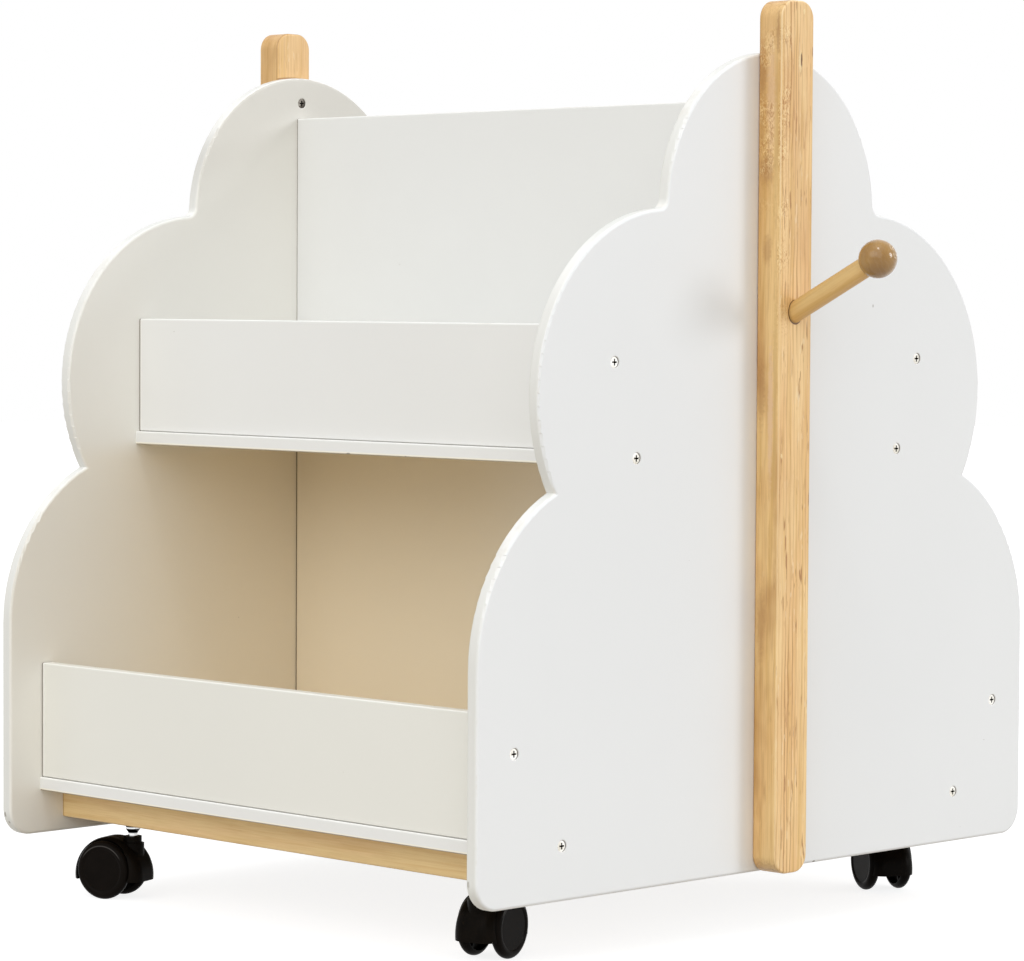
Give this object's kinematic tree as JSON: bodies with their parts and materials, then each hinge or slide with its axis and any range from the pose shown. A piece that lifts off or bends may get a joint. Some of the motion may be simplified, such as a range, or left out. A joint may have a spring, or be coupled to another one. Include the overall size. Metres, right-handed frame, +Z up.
{
  "type": "bookcase",
  "caption": "Low double-sided children's bookcase in a tree shape: lobed side panels, lipped shelves, centre divider, post trunks with tilted ball pegs, on swivel casters.",
  "frame": {"origin": "on the floor, under the middle of the bookcase", "axes": "+X from the left side panel to the right one, -Y to the front, +Z up"},
  "size_m": [0.664, 0.533, 0.6056],
  "materials": {
    "white_lacquer": "satin white lacquer on board",
    "pine": "clear satin varnish",
    "rail_pine": "clear satin varnish",
    "dark_wood": "stained, clear varnish",
    "dowel_wood": "raw",
    "screw_steel": "zinc plated",
    "dark_screw": "dark oxide",
    "brass_insert": "turned",
    "stem_chrome": "bright plated",
    "axle_steel": "drawn",
    "hood_plastic": "moulded, satin",
    "wheel_plastic": "moulded, satin"
  },
  "bodies": {
    "frame": {"right_side_panel": "white_lacquer", "left_side_panel": "white_lacquer", "lower_shelf": "white_lacquer", "upper_shelf": "white_lacquer", "lower_divider": "white_lacquer", "upper_divider": "white_lacquer", "front_lower_lip": "white_lacquer", "rear_lower_lip": "white_lacquer", "front_upper_lip": "white_lacquer", "rear_upper_lip": "white_lacquer", "front_rail": "rail_pine", "rear_rail": "rail_pine", "right_post": "pine", "left_post": "pine", "right_peg": "pine", "left_peg": "pine", "right_peg_ball": "dark_wood", "left_peg_ball": "dark_wood", "right_panel_screws": "screw_steel", "left_panel_screws": "screw_steel", "divider_screws": "screw_steel", "rail_screws": "screw_steel", "post_screws": "dark_screw", "lip_dowels": "dowel_wood", "rail_inserts": "brass_insert", "front_left_stem": "stem_chrome", "front_right_stem": "stem_chrome", "rear_right_stem": "stem_chrome", "rear_left_stem": "stem_chrome"},
    "front_left_caster": {"front_left_hood": "hood_plastic", "front_left_axle": "axle_steel"},
    "front_left_wheel_body_a": {"front_left_wheel_a": "wheel_plastic"},
    "front_left_wheel_body_b": {"front_left_wheel_b": "wheel_plastic"},
    "front_right_caster": {"front_right_hood": "hood_plastic", "front_right_axle": "axle_steel"},
    "front_right_wheel_body_a": {"front_right_wheel_a": "wheel_plastic"},
    "front_right_wheel_body_b": {"front_right_wheel_b": "wheel_plastic"},
    "rear_right_caster": {"rear_right_hood": "hood_plastic", "rear_right_axle": "axle_steel"},
    "rear_right_wheel_body_a": {"rear_right_wheel_a": "wheel_plastic"},
    "rear_right_wheel_body_b": {"rear_right_wheel_b": "wheel_plastic"},
    "rear_left_caster": {"rear_left_hood": "hood_plastic", "rear_left_axle": "axle_steel"},
    "rear_left_wheel_body_a": {"rear_left_wheel_a": "wheel_plastic"},
    "rear_left_wheel_body_b": {"rear_left_wheel_b": "wheel_plastic"}
  },
  "joints": [
    {"name": "front_left_swivel", "type": "hinge", "parent": "frame", "child": "front_left_caster", "pos_m": [-0.1701, -0.2017, 0.053], "axis": [0, 0, 1], "continuous": true},
    {"name": "front_left_roll_a", "type": "hinge", "parent": "front_left_caster", "child": "front_left_wheel_body_a", "pos_m": [-0.18513, -0.20717, 0.02], "axis": [0.342, -0.9397, 0], "continuous": true},
    {"name": "front_left_roll_b", "type": "hinge", "parent": "front_left_caster", "child": "front_left_wheel_body_b", "pos_m": [-0.18513, -0.20717, 0.02], "axis": [0.342, -0.9397, 0], "continuous": true},
    {"name": "front_right_swivel", "type": "hinge", "parent": "frame", "child": "front_right_caster", "pos_m": [0.1701, -0.2017, 0.053], "axis": [0, 0, 1], "continuous": true},
    {"name": "front_right_roll_a", "type": "hinge", "parent": "front_right_caster", "child": "front_right_wheel_body_a", "pos_m": [0.16596, -0.18624, 0.02], "axis": [-0.9659, -0.2588, 0], "continuous": true},
    {"name": "front_right_roll_b", "type": "hinge", "parent": "front_right_caster", "child": "front_right_wheel_body_b", "pos_m": [0.16596, -0.18624, 0.02], "axis": [-0.9659, -0.2588, 0], "continuous": true},
    {"name": "rear_right_swivel", "type": "hinge", "parent": "frame", "child": "rear_right_caster", "pos_m": [0.1701, 0.2017, 0.053], "axis": [0, 0, 1], "continuous": true},
    {"name": "rear_right_roll_a", "type": "hinge", "parent": "rear_right_caster", "child": "rear_right_wheel_body_a", "pos_m": [0.15584, 0.20896, 0.02], "axis": [-0.454, -0.891, 0], "continuous": true},
    {"name": "rear_right_roll_b", "type": "hinge", "parent": "rear_right_caster", "child": "rear_right_wheel_body_b", "pos_m": [0.15584, 0.20896, 0.02], "axis": [-0.454, -0.891, 0], "continuous": true},
    {"name": "rear_left_swivel", "type": "hinge", "parent": "frame", "child": "rear_left_caster", "pos_m": [-0.1701, 0.2017, 0.053], "axis": [0, 0, 1], "continuous": true},
    {"name": "rear_left_roll_a", "type": "hinge", "parent": "rear_left_caster", "child": "rear_left_wheel_body_a", "pos_m": [-0.1556, 0.20846, 0.02], "axis": [-0.4226, 0.9063, 0], "continuous": true},
    {"name": "rear_left_roll_b", "type": "hinge", "parent": "rear_left_caster", "child": "rear_left_wheel_body_b", "pos_m": [-0.1556, 0.20846, 0.02], "axis": [-0.4226, 0.9063, 0], "continuous": true}
  ]
}
